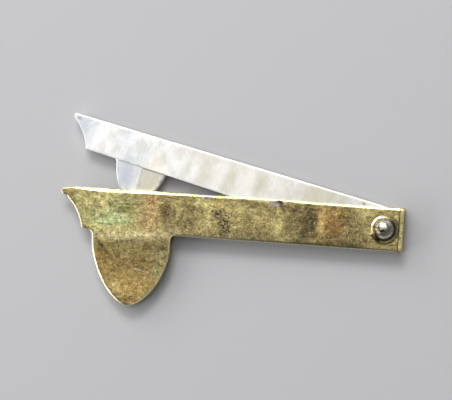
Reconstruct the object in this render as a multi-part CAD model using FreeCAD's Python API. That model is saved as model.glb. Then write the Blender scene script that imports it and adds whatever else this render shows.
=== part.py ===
import math
import os

import FreeCAD
import Part

# A folding fleam: one steel blade between two brass covers, lying on its rear cover.
# Lengths are in millimetres. X runs along the case towards the pivot, Y towards the case's
# top edge and Z out of the front cover. The outlines below are measured from the pivot axis.
V = FreeCAD.Vector

# Driving sizes of the case
case_length = 88.75
pivot_to_case_end = 4.55
pivot_to_origin = 40.0
bar_height = 11.1
cover_thickness = 1.1
blade_gap = 2.4
end_wall_thickness = 0.8
seam_gap = 0.06
end_round = 0.35

# Driving sizes of the cover's beak, at the end away from the pivot
beak_height = 2.7
beak_nose_radius = 0.65
beak_top_droop = 0.75
beak_top_length = 8.0
beak_middle_length_share = 0.45
beak_middle_droop_share = 0.3
beak_nose_fall = 0.3
shelf_length = 1.5
shelf_drop = 0.5
end_slant = 3.85
end_hollow = 0.65
foot_radius = 0.6

# Driving sizes of the cover's lobe, which guards the blade's spade
lobe_from_beak = 19.5
lobe_width = 20.4
lobe_depth = 18.75
lobe_root_round = 1.1
# Each pair is a share of the lobe's drop below its root and the share of its half width there
lobe_drop_and_width = ((0.0, 1.0), (0.22, 0.98), (0.42, 0.895), (0.65, 0.715), (0.84, 0.47))
crease_drop = 0.85
crease_radius = 17.0
dish_angle = 5.0
dish_return_angle = 2.0

# Driving sizes of the bevels filed along the covers' top edges
bevel_depth = 0.45
bevel_width = 0.7
wide_bevel_width = 1.35
wide_bevel_end_from_beak = 31.5
wide_bevel_end_radius = 1.2

# Driving sizes of the blade
blade_side_clearance = 0.05
blade_overhang = 1.2
spine_proud = 0.05
shank_tip_rise = 2.95
shank_heel_rise = 1.15
tip_land = 1.3
tip_land_lean = 0.15
tip_hollow = 1.15
tip_slant = 5.3
spine_bevel = 0.35
shank_edge_bevel = 0.15
heel_clearance = 0.1
heel_corner_radius = 0.8

# Driving sizes of the spade, the cutting lobe under the blade's shank
spade_side_setback = 3.5
spade_depth = 11.2
spade_root_thickness = 1.3
spade_edge_thickness = 0.4
spade_tip_thickness = 0.3
spade_bulge = 1.05
spade_flare_length = 5.0
spade_flare_depth = 0.9
spade_embed = 1.2
honed_bevel_width = 0.5
honed_bevel_height = 0.24

# Driving sizes of the pivot
rivet_diameter = 3.0
rivet_running_clearance = 0.05
rivet_seat_clearance = 0.02
rivet_head_diameter = 5.8
rivet_head_height = 2.0
washer_diameter = 7.2
washer_thickness = 0.6
washer_bevel = 0.25
countersink_diameter = 5.0
countersink_depth = 0.75

# The blade's travel, in degrees of opening from the closed case
rest_opening = 12.8
full_opening = 55.0

# Sizes worked out from those above
case_thickness = 2 * cover_thickness + blade_gap
mid_plane = case_thickness / 2
bar_half = bar_height / 2
case_end_x = pivot_to_case_end
wall_inner_x = case_end_x - end_wall_thickness
seam_x = wall_inner_x - seam_gap
beak_x = case_end_x - case_length
lobe_centre_x = beak_x + lobe_from_beak
lobe_left_x = lobe_centre_x - lobe_width / 2
lobe_right_x = lobe_centre_x + lobe_width / 2
lobe_bottom_y = -bar_half - lobe_depth
shank_thickness = blade_gap - 2 * blade_side_clearance
spine_y = bar_half + spine_proud
tip_x = beak_x - blade_overhang
heel_x = wall_inner_x - heel_clearance
spade_width = lobe_width - 2 * spade_side_setback
rivet_radius = rivet_diameter / 2

# How far cutting shapes reach past the solids, how near two points count as one, and where the
# middle of a quarter round lies, as a share of its radius
margin = 2.0
tolerance = 1e-6
quarter_middle = math.sin(math.radians(45))


def polar(radius, degrees):
    """A point on a circle round the pivot axis."""
    angle = math.radians(degrees)
    return V(radius * math.cos(angle), radius * math.sin(angle), 0)


def line(a, b):
    return Part.makeLine(a, b)


def arc(a, b, c):
    """The arc from a through b to c."""
    return Part.Arc(a, b, c).toShape()


def bowed(a, b, hollow):
    """The arc from a to b whose middle lies hollow to the left of the straight line."""
    along = b.sub(a)
    left = V(-along.y, along.x, 0).normalize()
    middle = a.add(b).multiply(0.5).add(left.multiply(hollow))
    return arc(a, middle, b)


def spline(points, first_tangent, last_tangent):
    curve = Part.BSplineCurve()
    curve.interpolate(Points=points, InitialTangent=first_tangent, FinalTangent=last_tangent)
    return curve.toShape()


def prism(edges, low_z, high_z):
    """A plate of the outline's shape between two heights."""
    face = Part.Face(Part.Wire(Part.__sortEdges__(edges)))
    face.translate(V(0, 0, low_z))
    return face.extrude(V(0, 0, high_z - low_z))


def bar_of_section(points, low_x, high_x):
    """A bar along X whose section is the polygon of (y, z) points."""
    loop = [V(low_x, y, z) for y, z in points]
    face = Part.Face(Part.makePolygon(loop + loop[:1]))
    return face.extrude(V(high_x - low_x, 0, 0))


# Outline of both covers, which differ only in where they end at the pivot
def lobe_edges():
    """The rounded lobe, a curve whose half width shrinks towards its foot."""
    root_y = -bar_half - lobe_root_round
    drop = lobe_bottom_y - root_y
    half = lobe_width / 2
    left = [V(lobe_centre_x - half * w, root_y + drop * d, 0) for d, w in lobe_drop_and_width]
    right = [V(lobe_centre_x + half * w, root_y + drop * d, 0) for d, w in reversed(lobe_drop_and_width)]
    foot = [V(lobe_centre_x, lobe_bottom_y, 0)]
    return spline(left + foot + right, V(0, -1, 0), V(0, 1, 0))


def cover_outline(end_x):
    top_start = V(beak_x + beak_top_length, bar_half, 0)
    top_middle = V(beak_x + beak_top_length * beak_middle_length_share,
                   bar_half - beak_top_droop * beak_middle_droop_share, 0)
    nose_top = V(beak_x + beak_nose_radius, bar_half - beak_top_droop, 0)
    nose_low = V(nose_top.x, nose_top.y - 2 * beak_nose_radius, 0)
    nose = V(beak_x, bar_half - beak_top_droop - beak_nose_radius, 0)
    shelf_end = V(nose_low.x + shelf_length, bar_half - beak_height - shelf_drop, 0)
    foot_y = -bar_half + foot_radius
    foot_left = V(shelf_end.x + end_slant, foot_y, 0)
    foot_mid = V(foot_left.x + foot_radius * (1 - quarter_middle), foot_y - foot_radius * quarter_middle, 0)
    foot_low = V(foot_left.x + foot_radius, -bar_half, 0)
    lobe_left = V(lobe_left_x, -bar_half - lobe_root_round, 0)
    lobe_right = V(lobe_right_x, -bar_half - lobe_root_round, 0)
    root_left = V(lobe_left_x - lobe_root_round, -bar_half, 0)
    root_right = V(lobe_right_x + lobe_root_round, -bar_half, 0)
    inset = lobe_root_round * (1 - quarter_middle)
    return [
        line(V(end_x, bar_half, 0), top_start),
        spline([top_start, top_middle, nose_top], V(-1, 0, 0), V(-1, -beak_nose_fall, 0)),
        arc(nose_top, nose, nose_low),
        line(nose_low, shelf_end),
        bowed(shelf_end, foot_left, end_hollow),
        arc(foot_left, foot_mid, foot_low),
        line(foot_low, root_left),
        arc(root_left, V(lobe_left_x - inset, -bar_half - inset, 0), lobe_left),
        lobe_edges(),
        arc(lobe_right, V(lobe_right_x + inset, -bar_half - inset, 0), root_right),
        line(root_right, V(end_x, -bar_half, 0)),
        line(V(end_x, -bar_half, 0), V(end_x, bar_half, 0)),
    ]


def cover_sheet(end_x):
    """The front cover's sheet, flat over the bar and slightly dished inwards over the lobe."""
    turn = math.radians(dish_angle)
    back = math.radians(dish_return_angle)
    crease_y = -bar_half - crease_drop
    dish_start_y = crease_y - crease_radius * math.sin(turn)
    dish_radius = (dish_start_y - lobe_bottom_y + margin) / (math.sin(turn) + math.sin(back))
    crease_centre_z = case_thickness - crease_radius
    dish_centre = V(0, crease_y - (crease_radius + dish_radius) * math.sin(turn),
                    crease_centre_z + (crease_radius + dish_radius) * math.cos(turn))

    def crease_point(angle, depth):
        radius = crease_radius - depth
        return V(0, crease_y - radius * math.sin(angle), crease_centre_z + radius * math.cos(angle))

    def dish_point(angle, depth):
        radius = dish_radius + depth
        return V(0, dish_centre.y + radius * math.sin(angle), dish_centre.z - radius * math.cos(angle))

    def face_edges(depth):
        flat_start = V(0, bar_half + margin, case_thickness - depth)
        return [
            line(flat_start, crease_point(0, depth)),
            arc(crease_point(0, depth), crease_point(turn / 2, depth), crease_point(turn, depth)),
            arc(dish_point(turn, depth), dish_point((turn - back) / 2, depth), dish_point(-back, depth)),
        ]

    outer = face_edges(0)
    inner = face_edges(cover_thickness)
    flat_end_y = bar_half + margin
    closing = [
        line(V(0, flat_end_y, case_thickness), V(0, flat_end_y, case_thickness - cover_thickness)),
        line(dish_point(-back, 0), dish_point(-back, cover_thickness)),
    ]
    section = Part.Face(Part.Wire(Part.__sortEdges__(outer + inner + closing)))
    section.translate(V(beak_x - margin, 0, 0))
    slab = section.extrude(V(case_length + 2 * margin, 0, 0))
    return slab.common(prism(cover_outline(end_x), 0, case_thickness + margin))


def edge_bevel(width, low_x, high_x):
    """What a file takes off the front cover's top edge to leave a bevel of this width."""
    slope = bevel_depth / width
    clear_z = case_thickness + margin
    return bar_of_section([
        (bar_half - width, case_thickness),
        (bar_half + margin, case_thickness - slope * (width + margin)),
        (bar_half + margin, clear_z),
        (bar_half - width, clear_z),
    ], low_x, high_x)


def top_bevels():
    """A bevel all along the top edge, with the wider one near the beak, whose end is rounded."""
    low_x = beak_x - margin
    end_x = beak_x + wide_bevel_end_from_beak
    low_y = bar_half - wide_bevel_width - margin
    high_y = bar_half + margin
    round_end = Part.makeBox(end_x - low_x, high_y - low_y, case_thickness + 2 * margin, V(low_x, low_y, 0))
    corner = [e for e in round_end.Edges
              if all(abs(v.X - end_x) < tolerance and abs(v.Y - low_y) < tolerance for v in e.Vertexes)]
    round_end = round_end.makeFillet(wide_bevel_end_radius + margin, corner)
    narrow = edge_bevel(bevel_width, low_x, case_end_x + margin)
    wide = edge_bevel(wide_bevel_width, low_x, end_x)
    return narrow.fuse(wide.common(round_end))


def bevelled_sheet(end_x):
    """The front cover's dished sheet with its top edge filed."""
    return cover_sheet(end_x).cut(top_bevels())


def to_rear(shape):
    """The shape mirrored through the case's middle plane."""
    return shape.mirror(V(0, 0, mid_plane), V(0, 0, 1))


def rivet_hole(radius, low_z, high_z):
    return Part.makeCylinder(radius, high_z - low_z, V(0, 0, low_z), V(0, 0, 1))


def tail_cone(clearance):
    """The rivet's peened tail, or with a clearance the countersink that it fills."""
    return Part.makeCone(countersink_diameter / 2 + clearance, rivet_radius + clearance, countersink_depth)


def front_cover():
    hole = rivet_hole(rivet_radius + rivet_seat_clearance, mid_plane, case_thickness + margin)
    return bevelled_sheet(seam_x).cut(hole)


def end_wall():
    """The wall that closes the case's pivot end and keeps the front cover from turning."""
    box = Part.makeBox(end_wall_thickness, bar_height, case_thickness, V(wall_inner_x, -bar_half, 0))
    outer = [e for e in box.Edges if all(abs(v.X - case_end_x) < tolerance for v in e.Vertexes)]
    rounded = box.makeFillet(end_round, outer)
    bevel = top_bevels()
    return rounded.cut(bevel).cut(to_rear(bevel))


def rear_cover():
    sheet = to_rear(bevelled_sheet(wall_inner_x))
    hole = rivet_hole(rivet_radius + rivet_seat_clearance, -margin, mid_plane)
    return sheet.fuse(end_wall()).removeSplitter().cut(hole).cut(tail_cone(rivet_seat_clearance))


# The blade is drawn closed, with its spine level with the case's top edge, then opened to its rest
def shank_low_y(x):
    """The shank's lower edge, which falls evenly from the tip to the heel."""
    low_start = -bar_half + shank_tip_rise
    low_end = -bar_half + shank_heel_rise
    share = (x - (tip_x + tip_slant)) / (heel_x - (tip_x + tip_slant))
    return low_start + (low_end - low_start) * share


def shank():
    tip = V(tip_x, spine_y, 0)
    land_end = V(tip_x + tip_land * tip_land_lean, spine_y - tip_land, 0)
    tip_low = V(tip_x + tip_slant, shank_low_y(tip_x + tip_slant), 0)
    corner_x = heel_x - heel_corner_radius
    corner_start = V(corner_x, shank_low_y(corner_x), 0)
    corner_end = V(heel_x, corner_start.y + heel_corner_radius, 0)
    corner_mid = V(corner_x + heel_corner_radius * quarter_middle,
                   corner_end.y - heel_corner_radius * quarter_middle, 0)
    stop = polar(heel_x, full_opening)
    slope = math.radians(full_opening)
    shoulder = V(stop.x - (spine_y - stop.y) * math.tan(slope), spine_y, 0)
    outline = [
        line(shoulder, tip),
        line(tip, land_end),
        bowed(land_end, tip_low, tip_hollow),
        line(tip_low, corner_start),
        arc(corner_start, corner_mid, corner_end),
        line(corner_end, polar(heel_x, 0)),
        arc(polar(heel_x, 0), polar(heel_x, full_opening / 2), stop),
        line(stop, shoulder),
    ]
    plate = prism(outline, mid_plane - shank_thickness / 2, mid_plane + shank_thickness / 2)
    plate = plate.makeChamfer(spine_bevel, long_edges(plate, tip, shoulder))
    return plate.makeChamfer(shank_edge_bevel, long_edges(plate, tip_low, corner_start))


def long_edges(shape, start, end):
    """The two edges, one on each face, that run between the outline's points start and end."""
    def lies_between(edge):
        ends = [V(v.X, v.Y, 0) for v in edge.Vertexes]
        gaps = [min(p.distanceToPoint(start), p.distanceToPoint(end)) for p in ends]
        return len(ends) == 2 and max(gaps) < tolerance and edge.Length > tip_slant
    return [edge for edge in shape.Edges if lies_between(edge)]


def spade_facets(root_y):
    """A plate with a ridge down its middle, thinning to its sides and to its tip."""
    ridge = spade_root_thickness / 2
    side_fall = (spade_root_thickness - spade_edge_thickness) / spade_width
    tip_fall = (spade_root_thickness - spade_tip_thickness) / 2 / spade_depth
    half = spade_width / 2 + margin
    top_y = root_y + spade_embed
    low_y = root_y - spade_depth - margin
    low_corner = V(lobe_centre_x - half, low_y, mid_plane - ridge)
    plate = Part.makeBox(2 * half, top_y - low_y, 2 * ridge, low_corner)

    def above_facet(side):
        corners = ((0, top_y), (half, top_y), (half, low_y), (0, low_y))
        ridge_z = mid_plane + ridge
        loop = [V(lobe_centre_x + side * out, y, ridge_z - side_fall * out - tip_fall * (root_y - y))
                for out, y in corners]
        return Part.Face(Part.makePolygon(loop + loop[:1])).extrude(V(0, 0, case_thickness))

    for side in (-1, 1):
        cutter = above_facet(side)
        plate = plate.cut(cutter).cut(to_rear(cutter))
    return plate


def honed_disc(side, root_y):
    """A disc whose sharp rim is one of the spade's two curved cutting edges."""
    start = V(lobe_centre_x + side * spade_width / 2, root_y - spade_flare_depth, 0)
    tip = V(lobe_centre_x, root_y - spade_depth, 0)
    chord = tip.sub(start)
    radius = (chord.Length ** 2 / 4 + spade_bulge ** 2) / (2 * spade_bulge)
    inward = V(-side * abs(chord.y), abs(chord.x), 0).normalize()
    centre = start.add(tip).multiply(0.5).add(inward.multiply(radius - spade_bulge))
    height = spade_root_thickness
    narrow = radius - height * honed_bevel_width / honed_bevel_height
    upper = Part.makeCone(radius, narrow, height, V(centre.x, centre.y, mid_plane), V(0, 0, 1))
    lower = Part.makeCone(radius, narrow, height, V(centre.x, centre.y, mid_plane), V(0, 0, -1))
    return upper.fuse(lower)


def spade_flare(side, root_y):
    """The thin web that sweeps from the shank's lower edge into the spade's side."""
    near_x = lobe_centre_x + side * (spade_width / 2 - spade_flare_depth)
    edge_x = lobe_centre_x + side * spade_width / 2
    far_x = edge_x + side * spade_flare_length
    start = V(far_x, shank_low_y(far_x), 0)
    end = V(edge_x, root_y - spade_flare_depth, 0)
    inside = [V(far_x, start.y + spade_embed, 0), V(near_x, root_y + spade_embed, 0), V(near_x, end.y, 0)]
    outline = [
        spline([start, end], V(-side, 0, 0), V(0, -1, 0)),
        line(end, inside[2]),
        line(inside[2], inside[1]),
        line(inside[1], inside[0]),
        line(inside[0], start),
    ]
    return prism(outline, mid_plane - spade_edge_thickness / 2, mid_plane + spade_edge_thickness / 2)


def closed_blade():
    root_y = shank_low_y(lobe_centre_x)
    spade = spade_facets(root_y)
    for side in (-1, 1):
        spade = spade.common(honed_disc(side, root_y))
    hole = rivet_hole(rivet_radius + rivet_running_clearance, 0, case_thickness)
    whole = shank().fuse([spade, spade_flare(-1, root_y), spade_flare(1, root_y)])
    return whole.removeSplitter().cut(hole)


def blade():
    opened = closed_blade()
    opened.rotate(V(0, 0, 0), V(0, 0, 1), -rest_opening)
    return opened


def head_washer():
    """The ring under the rivet's head, with its upper rim rounded."""
    disc = Part.makeCylinder(washer_diameter / 2, washer_thickness, V(0, 0, case_thickness))
    rim = [e for e in disc.Edges if e.BoundBox.ZMin > case_thickness + washer_thickness / 2]
    rounded = disc.makeFillet(washer_bevel, rim)
    return rounded.cut(rivet_hole(rivet_radius + rivet_seat_clearance, mid_plane, case_thickness + margin))


def pivot_rivet():
    """The rivet: a domed head, a shaft through both covers and the blade, and a flush peened tail."""
    head_base = case_thickness + washer_thickness
    head_radius = rivet_head_diameter / 2
    ball_radius = (head_radius ** 2 + rivet_head_height ** 2) / (2 * rivet_head_height)
    ball = Part.makeSphere(ball_radius, V(0, 0, head_base + rivet_head_height - ball_radius))
    above = Part.makeCylinder(ball_radius + margin, ball_radius * 2, V(0, 0, head_base))
    shaft = Part.makeCylinder(rivet_radius, head_base)
    return ball.common(above).fuse([shaft, tail_cone(0)]).removeSplitter()


def save(name, shape):
    placed = shape.copy()
    placed.translate(V(pivot_to_origin, 0, 0))
    placed.exportStep("parts/" + name + ".step")
    box = placed.BoundBox
    corners = [round(v, 2) for v in (box.XMin, box.XMax, box.YMin, box.YMax, box.ZMin, box.ZMax)]
    print(name, "solids", len(placed.Solids), "valid", placed.isValid(), "volume", round(placed.Volume, 2))
    print("   from and to in X, Y and Z:", corners)


def main():
    os.makedirs("parts", exist_ok=True)
    save("front_cover", front_cover())
    save("rear_cover", rear_cover())
    save("blade", blade())
    save("head_washer", head_washer())
    save("pivot_rivet", pivot_rivet())


if __name__ == "__main__":
    main()
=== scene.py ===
# %% [markdown]
# # A folding fleam
# The object is an old instrument of five pieces: two brass covers, a steel blade between them,
# and a domed rivet with a ring under its head, on which the blade swings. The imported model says
# where every piece lies. This lesson gives each piece a finer skin with worn edges, and a finish
# built from nodes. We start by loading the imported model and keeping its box, which nothing may
# outgrow.

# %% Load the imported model
import math

import bpy
import numpy as np
from mathutils import Matrix, Vector, geometry, noise


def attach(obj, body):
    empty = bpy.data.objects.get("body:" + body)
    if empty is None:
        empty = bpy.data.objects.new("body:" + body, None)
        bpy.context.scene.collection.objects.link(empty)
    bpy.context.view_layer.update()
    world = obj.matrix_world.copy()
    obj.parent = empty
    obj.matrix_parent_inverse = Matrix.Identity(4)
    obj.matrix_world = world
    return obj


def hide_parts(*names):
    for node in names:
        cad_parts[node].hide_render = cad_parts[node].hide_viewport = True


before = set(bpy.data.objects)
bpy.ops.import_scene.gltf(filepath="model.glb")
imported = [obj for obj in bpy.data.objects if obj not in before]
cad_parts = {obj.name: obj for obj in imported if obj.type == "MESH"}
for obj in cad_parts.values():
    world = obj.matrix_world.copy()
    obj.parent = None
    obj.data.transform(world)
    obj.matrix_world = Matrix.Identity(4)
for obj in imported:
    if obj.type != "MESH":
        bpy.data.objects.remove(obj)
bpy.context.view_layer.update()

# %% [markdown]
# Lengths are easiest to read in millimetres, so the drawing is made in them, measured from the
# rivet's axis, and turned into metres at the last step. These are the sizes the brassworker and
# the cutler would have marked out.

# %% Sizes in millimetres
MM = 0.001
PIVOT_X = 40.0
CASE_END = 4.55
WALL_FACE = 3.75
SEAM = 3.69
BEAK = -84.2
BAR_HALF = 5.55
SHEET = 1.1
CASE_TOP = 4.6
MID = CASE_TOP / 2
LOBE_X = BEAK + 19.5
LOBE_HALF = 10.2
LOBE_FOOT = -24.3
print("case", round(CASE_END - BEAK, 2), "mm long and", CASE_TOP, "mm thick")

# %% [markdown]
# ## Camera
# The camera hangs almost straight above the fleam, 600 mm away, leaning ten degrees towards the
# rivet end and rolled by four. A long lens keeps the two ends nearly equal in size. We build its
# three axes by hand, because that says exactly where it looks.

# %% Camera
IMAGE_WIDTH = 452
PIXELS_PER_MM = 3.9
CAMERA_DISTANCE = 600.0
CAMERA_PLACE = (102.55, 4.55, 590.88)
lean = math.radians(10)
roll = math.radians(4)
toward_camera = Vector((math.sin(lean), 0, math.cos(lean)))
level = Vector((math.cos(lean), 0, -math.sin(lean)))
upright = Vector((0, 1, 0))
camera_right = level * math.cos(roll) + upright * math.sin(roll)
camera_up = upright * math.cos(roll) - level * math.sin(roll)
camera_data = bpy.data.cameras.new("camera")
camera_data.sensor_width = 36.0
camera_data.lens = camera_data.sensor_width * PIXELS_PER_MM * CAMERA_DISTANCE / IMAGE_WIDTH
camera = bpy.data.objects.new("camera", camera_data)
bpy.context.scene.collection.objects.link(camera)
camera_turn = Matrix((camera_right, camera_up, toward_camera)).transposed().to_4x4()
camera.matrix_world = Matrix.Translation(Vector(CAMERA_PLACE) * MM) @ camera_turn
bpy.context.scene.camera = camera
print("lens", round(camera_data.lens, 1), "mm")

# %% [markdown]
# ## Small tools for drawing
# Each outline is a closed row of points. Straight runs, round corners and one smooth curve
# through given points are all a metalworker's template needs, so we write just those three.

# %% Lines, arcs and a smooth curve
def run(a, b, step=0.25):
    """Points from a to b, without b."""
    a, b = np.array(a, float), np.array(b, float)
    count = max(1, round(np.linalg.norm(b - a) / step))
    return a + (b - a) * (np.arange(count) / count)[:, None]


def runs(*corners):
    """Straight runs from corner to corner, without the last one."""
    return np.concatenate([run(a, b) for a, b in zip(corners, corners[1:])])


def bend(centre, radius, start, end, step=0.12):
    """Points on a circle from one angle to another, in degrees, without the last."""
    count = max(3, round(abs(math.radians(end - start)) * radius / step))
    angles = np.radians(start + (end - start) * np.arange(count) / count)
    return np.array(centre) + radius * np.stack([np.cos(angles), np.sin(angles)], 1)


def bow(a, b, hollow, step=0.25):
    """Points on the arc from a to b whose middle stands hollow to the left of the chord."""
    a, b = np.array(a, float), np.array(b, float)
    chord = b - a
    length = np.linalg.norm(chord)
    left = np.array([-chord[1], chord[0]]) / length
    share = np.arange(max(2, round(length / step)))
    share = share / len(share)
    radius = (length ** 2 / 4 + hollow ** 2) / (2 * hollow)
    along = (share - 0.5) * length
    rise = np.sign(hollow) * np.sqrt(radius ** 2 - along ** 2) - (radius - hollow)
    return a + chord * share[:, None] + left * rise[:, None]


def sweep(points, first, last, per_span=8):
    """A smooth curve through the points, leaving and arriving in given directions."""
    p = np.array(points, float)
    gap = np.linalg.norm(np.diff(p, axis=0), axis=1)
    size = len(p)
    matrix = np.eye(size)
    right = np.zeros((size, 2))
    right[0], right[-1] = first, last
    for i in range(1, size - 1):
        before, after = gap[i - 1], gap[i]
        matrix[i, i - 1:i + 2] = after, 2 * (before + after), before
        right[i] = 3 * (after * (p[i] - p[i - 1]) / before + before * (p[i + 1] - p[i]) / after)
    slope = np.linalg.solve(matrix, right)
    out = []
    for i in range(size - 1):
        for t in np.arange(per_span) / per_span:
            h = gap[i]
            out.append((1 + 2 * t) * (1 - t) ** 2 * p[i] + t * (1 - t) ** 2 * h * slope[i]
                       + t * t * (3 - 2 * t) * p[i + 1] + t * t * (t - 1) * h * slope[i + 1])
    return np.array(out)


def soft_min(a, b, width):
    """The lower of two heights, with the corner between them eased over a width."""
    share = np.clip(0.5 + 0.5 * (b - a) / width, 0, 1)
    return b * (1 - share) + a * share - width * share * (1 - share)


def ripple(x, y, wave, place):
    """Gentle unevenness between -1 and 1, with hills about one wave across."""
    return np.array([noise.noise(Vector((a / wave + place, b / wave - place, place * 0.37)))
                     for a, b in zip(x, y)])

# %% [markdown]
# ## How a plate is built
# A cut plate with worn edges is a closed skin: a front face, a back face, and a narrow band
# round the outline that rolls from one to the other. The Bevel modifier could round the edge of
# a plain extrusion, but here the faces also have to carry dents and a dished lobe. So the band is
# made of rings of points, each a little further in and a little lower, and each face is filled
# with a net of triangles whose points can then be raised or lowered.

# %% Fill a face with a net of triangles
LEAST_GAP = 0.04


def inward(outline):
    """The direction into the plate at each point of a counterclockwise outline."""
    along = np.roll(outline, -1, 0) - np.roll(outline, 1, 0)
    along = along / np.linalg.norm(along, axis=1)[:, None]
    return np.stack([-along[:, 1], along[:, 0]], 1)


def inside(points, loop):
    """Which points lie within a closed loop."""
    found = np.zeros(len(points), bool)
    x, y = points[:, 0], points[:, 1]
    for (ax, ay), (bx, by) in zip(loop, np.roll(loop, -1, 0)):
        if ay != by:
            crosses = (ay > y) != (by > y)
            found ^= crosses & (x < (bx - ax) * (y - ay) / (by - ay) + ax)
    return found


def gap_to(points, others, block=500):
    """How far each point lies from the nearest of the others, worked out a block at a time."""
    return np.concatenate([np.linalg.norm(points[i:i + block, None] - others[None], axis=2).min(1)
                           for i in range(0, len(points), block)])


def net(loop, holes, rows, step):
    """Triangles that fill the loop around its holes. Returns points, triangles and where the
    loop's and the holes' points went."""
    borders = [loop] + list(holes)
    low, high = loop.min(0), loop.max(0)
    xs = np.arange(low[0], high[0], step)
    ys = np.arange(low[1], high[1], step * 0.87)
    grid = np.array([(x + (j % 2) * step / 2, y) for j, y in enumerate(ys) for x in xs])
    wander = np.random.default_rng(7).uniform(-0.12, 0.12, grid.shape) * step
    grid = grid + wander
    rows = np.array(rows, float).reshape(-1, 2)
    rows = rows[inside(rows, loop)] if len(rows) else rows
    edge = np.concatenate(borders)
    if len(rows):
        rows = rows[gap_to(rows, edge) > LEAST_GAP]
        for hole in holes:
            rows = rows[~inside(rows, hole)]
        grid = grid[gap_to(grid, rows) > step * 0.45]
    grid = grid[inside(grid, loop)]
    for hole in holes:
        grid = grid[~inside(grid, hole)]
    grid = grid[gap_to(grid, edge) > step * 0.55]
    points = np.concatenate(borders + [rows, grid])
    edges = []
    first = 0
    for border in borders:
        count = len(border)
        edges += [(first + i, first + (i + 1) % count) for i in range(count)]
        first += count
    found = geometry.delaunay_2d_cdt([Vector(p) for p in points], edges, [], 0, 1e-7, True)
    places, triangles, sources = np.array([tuple(p) for p in found[0]]), found[2], found[3]
    middles = places[np.array(triangles)].mean(1)
    kept = inside(middles, loop)
    for hole in holes:
        kept &= ~inside(middles, hole)
    triangles = [triangle for triangle, keep in zip(triangles, kept) if keep]
    where = {}
    for new, olds in enumerate(sources):
        for old in olds:
            where[old] = new
    return places, triangles, [where[i] for i in range(first)]

# %% [markdown]
# The plate itself joins two such nets. `top` and `low` are rules that give the height of each
# face at any place, so the same function serves the dished covers and the blade.

# %% Build a plate with rolled edges
EDGE_TURNS = 5


def plate(outline, top, low, top_roll, low_roll, holes=(), rows=(), step=0.5, low_step=1.2, reach=None,
          flat=0.0):
    """Vertices and faces of a closed plate. A roll is how deep the worn edge goes, one for each
    outline point, and reach is how far it goes into the top face (as far as it is deep, if not
    given). The roll is round where flat is 0 and a straight chamfer where it is 1. A hole is its
    (radius, height) steps from top to low."""
    normal = inward(outline)
    reach = top_roll if reach is None else reach
    turns = np.radians(np.linspace(0, 90, EDGE_TURNS + 1))
    rings = []
    for step_share, turn in zip(np.linspace(0, 1, EDGE_TURNS + 1), turns):
        inset = reach * ((1 - flat) * (1 - math.sin(turn)) + flat * (1 - step_share))
        sunk = top_roll * ((1 - flat) * (1 - math.cos(turn)) + flat * step_share)
        at = outline + normal * inset[:, None]
        rings.append((at, top(*at.T) - sunk))
    for turn in turns[::-1]:
        at = outline + normal * (low_roll * (1 - math.sin(turn)))[:, None]
        rings.append((at, low(*at.T) + low_roll * (1 - math.cos(turn))))
    ring_angles = np.radians(np.arange(0, 360, 6))[::-1]
    circle = np.stack([np.cos(ring_angles), np.sin(ring_angles)], 1)
    centre = np.zeros(2)
    upper = net(rings[0][0], [centre + circle * hole[0][0] for hole in holes], rows, step)
    lower = net(rings[-1][0], [centre + circle * hole[-1][0] for hole in holes], (), low_step)
    points, faces = [], []

    def add(at, z):
        start = len(points)
        points.extend((x, y, h) for (x, y), h in zip(at, z))
        return start

    top_start = add(upper[0], top(*upper[0].T))
    faces += [tuple(top_start + i for i in face) for face in upper[1]]
    low_start = add(lower[0], low(*lower[0].T))
    faces += [tuple(low_start + i for i in reversed(face)) for face in lower[1]]
    count = len(outline)

    def stitch(above, below):
        size = len(above)
        for i in range(size):
            j = (i + 1) % size
            faces.append((above[i], below[i], below[j], above[j]))

    above = [top_start + i for i in upper[2][:count]]
    for at, z in rings[1:-1]:
        start = add(at, z)
        below = [start + i for i in range(count)]
        stitch(above, below)
        above = below
    stitch(above, [low_start + i for i in lower[2][:count]])
    used = count
    for hole in holes:
        size = len(circle)
        above = [top_start + i for i in upper[2][used:used + size]]
        for radius, z in hole[1:-1]:
            start = add(centre + circle * radius, np.full(size, z))
            below = [start + i for i in range(size)]
            stitch(above, below)
            above = below
        stitch(above, [low_start + i for i in lower[2][used:used + size]])
        used += size
    return points, faces


def even(points, step, keep=()):
    """The closed outline again with even steps, and with extra points where it crosses an x."""
    closed = np.vstack([points, points[:1]])
    gone = np.concatenate([[0], np.cumsum(np.linalg.norm(np.diff(closed, axis=0), axis=1))])
    count = round(gone[-1] / step)
    at = list(np.arange(count) * gone[-1] / count)
    for x in keep:
        for i in range(len(closed) - 1):
            a, b = closed[i, 0], closed[i + 1, 0]
            if (a - x) * (b - x) < 0:
                share = (x - a) / (b - a)
                crossing = gone[i] + share * (gone[i + 1] - gone[i])
                at = [s for s in at if abs(s - crossing) > LEAST_GAP] + [crossing]
    at = np.array(sorted(at))
    return np.stack([np.interp(at, gone, closed[:, k]) for k in (0, 1)], 1)


def make_piece(name, points, faces, body, slot, turn=0.0):
    """A Blender object from points in millimetres, turned about the rivet's axis."""
    mesh = bpy.data.meshes.new(name)
    spin = Matrix.Rotation(math.radians(turn), 4, "Z")
    shift = Vector((PIVOT_X, 0, 0))
    mesh.from_pydata([(spin @ Vector(p) + shift) * MM for p in points], [], faces)
    mesh.validate()
    mesh.shade_smooth()
    mesh.set_sharp_from_angle(angle=math.radians(42))
    piece = bpy.data.objects.new(name, mesh)
    bpy.context.scene.collection.objects.link(piece)
    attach(piece, body)
    print(name, len(mesh.vertices), "points", len(mesh.polygons), "faces")
    return piece

# %% [markdown]
# Hands polish edges first. So every point also gets a number, its wear, which is 1 on the very
# edge and falls to 0 within half a millimetre; the finishes read it to brighten the edges. Fingers
# reach only the outer corner of a cover's side, so its wear fades towards the inner one.

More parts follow.
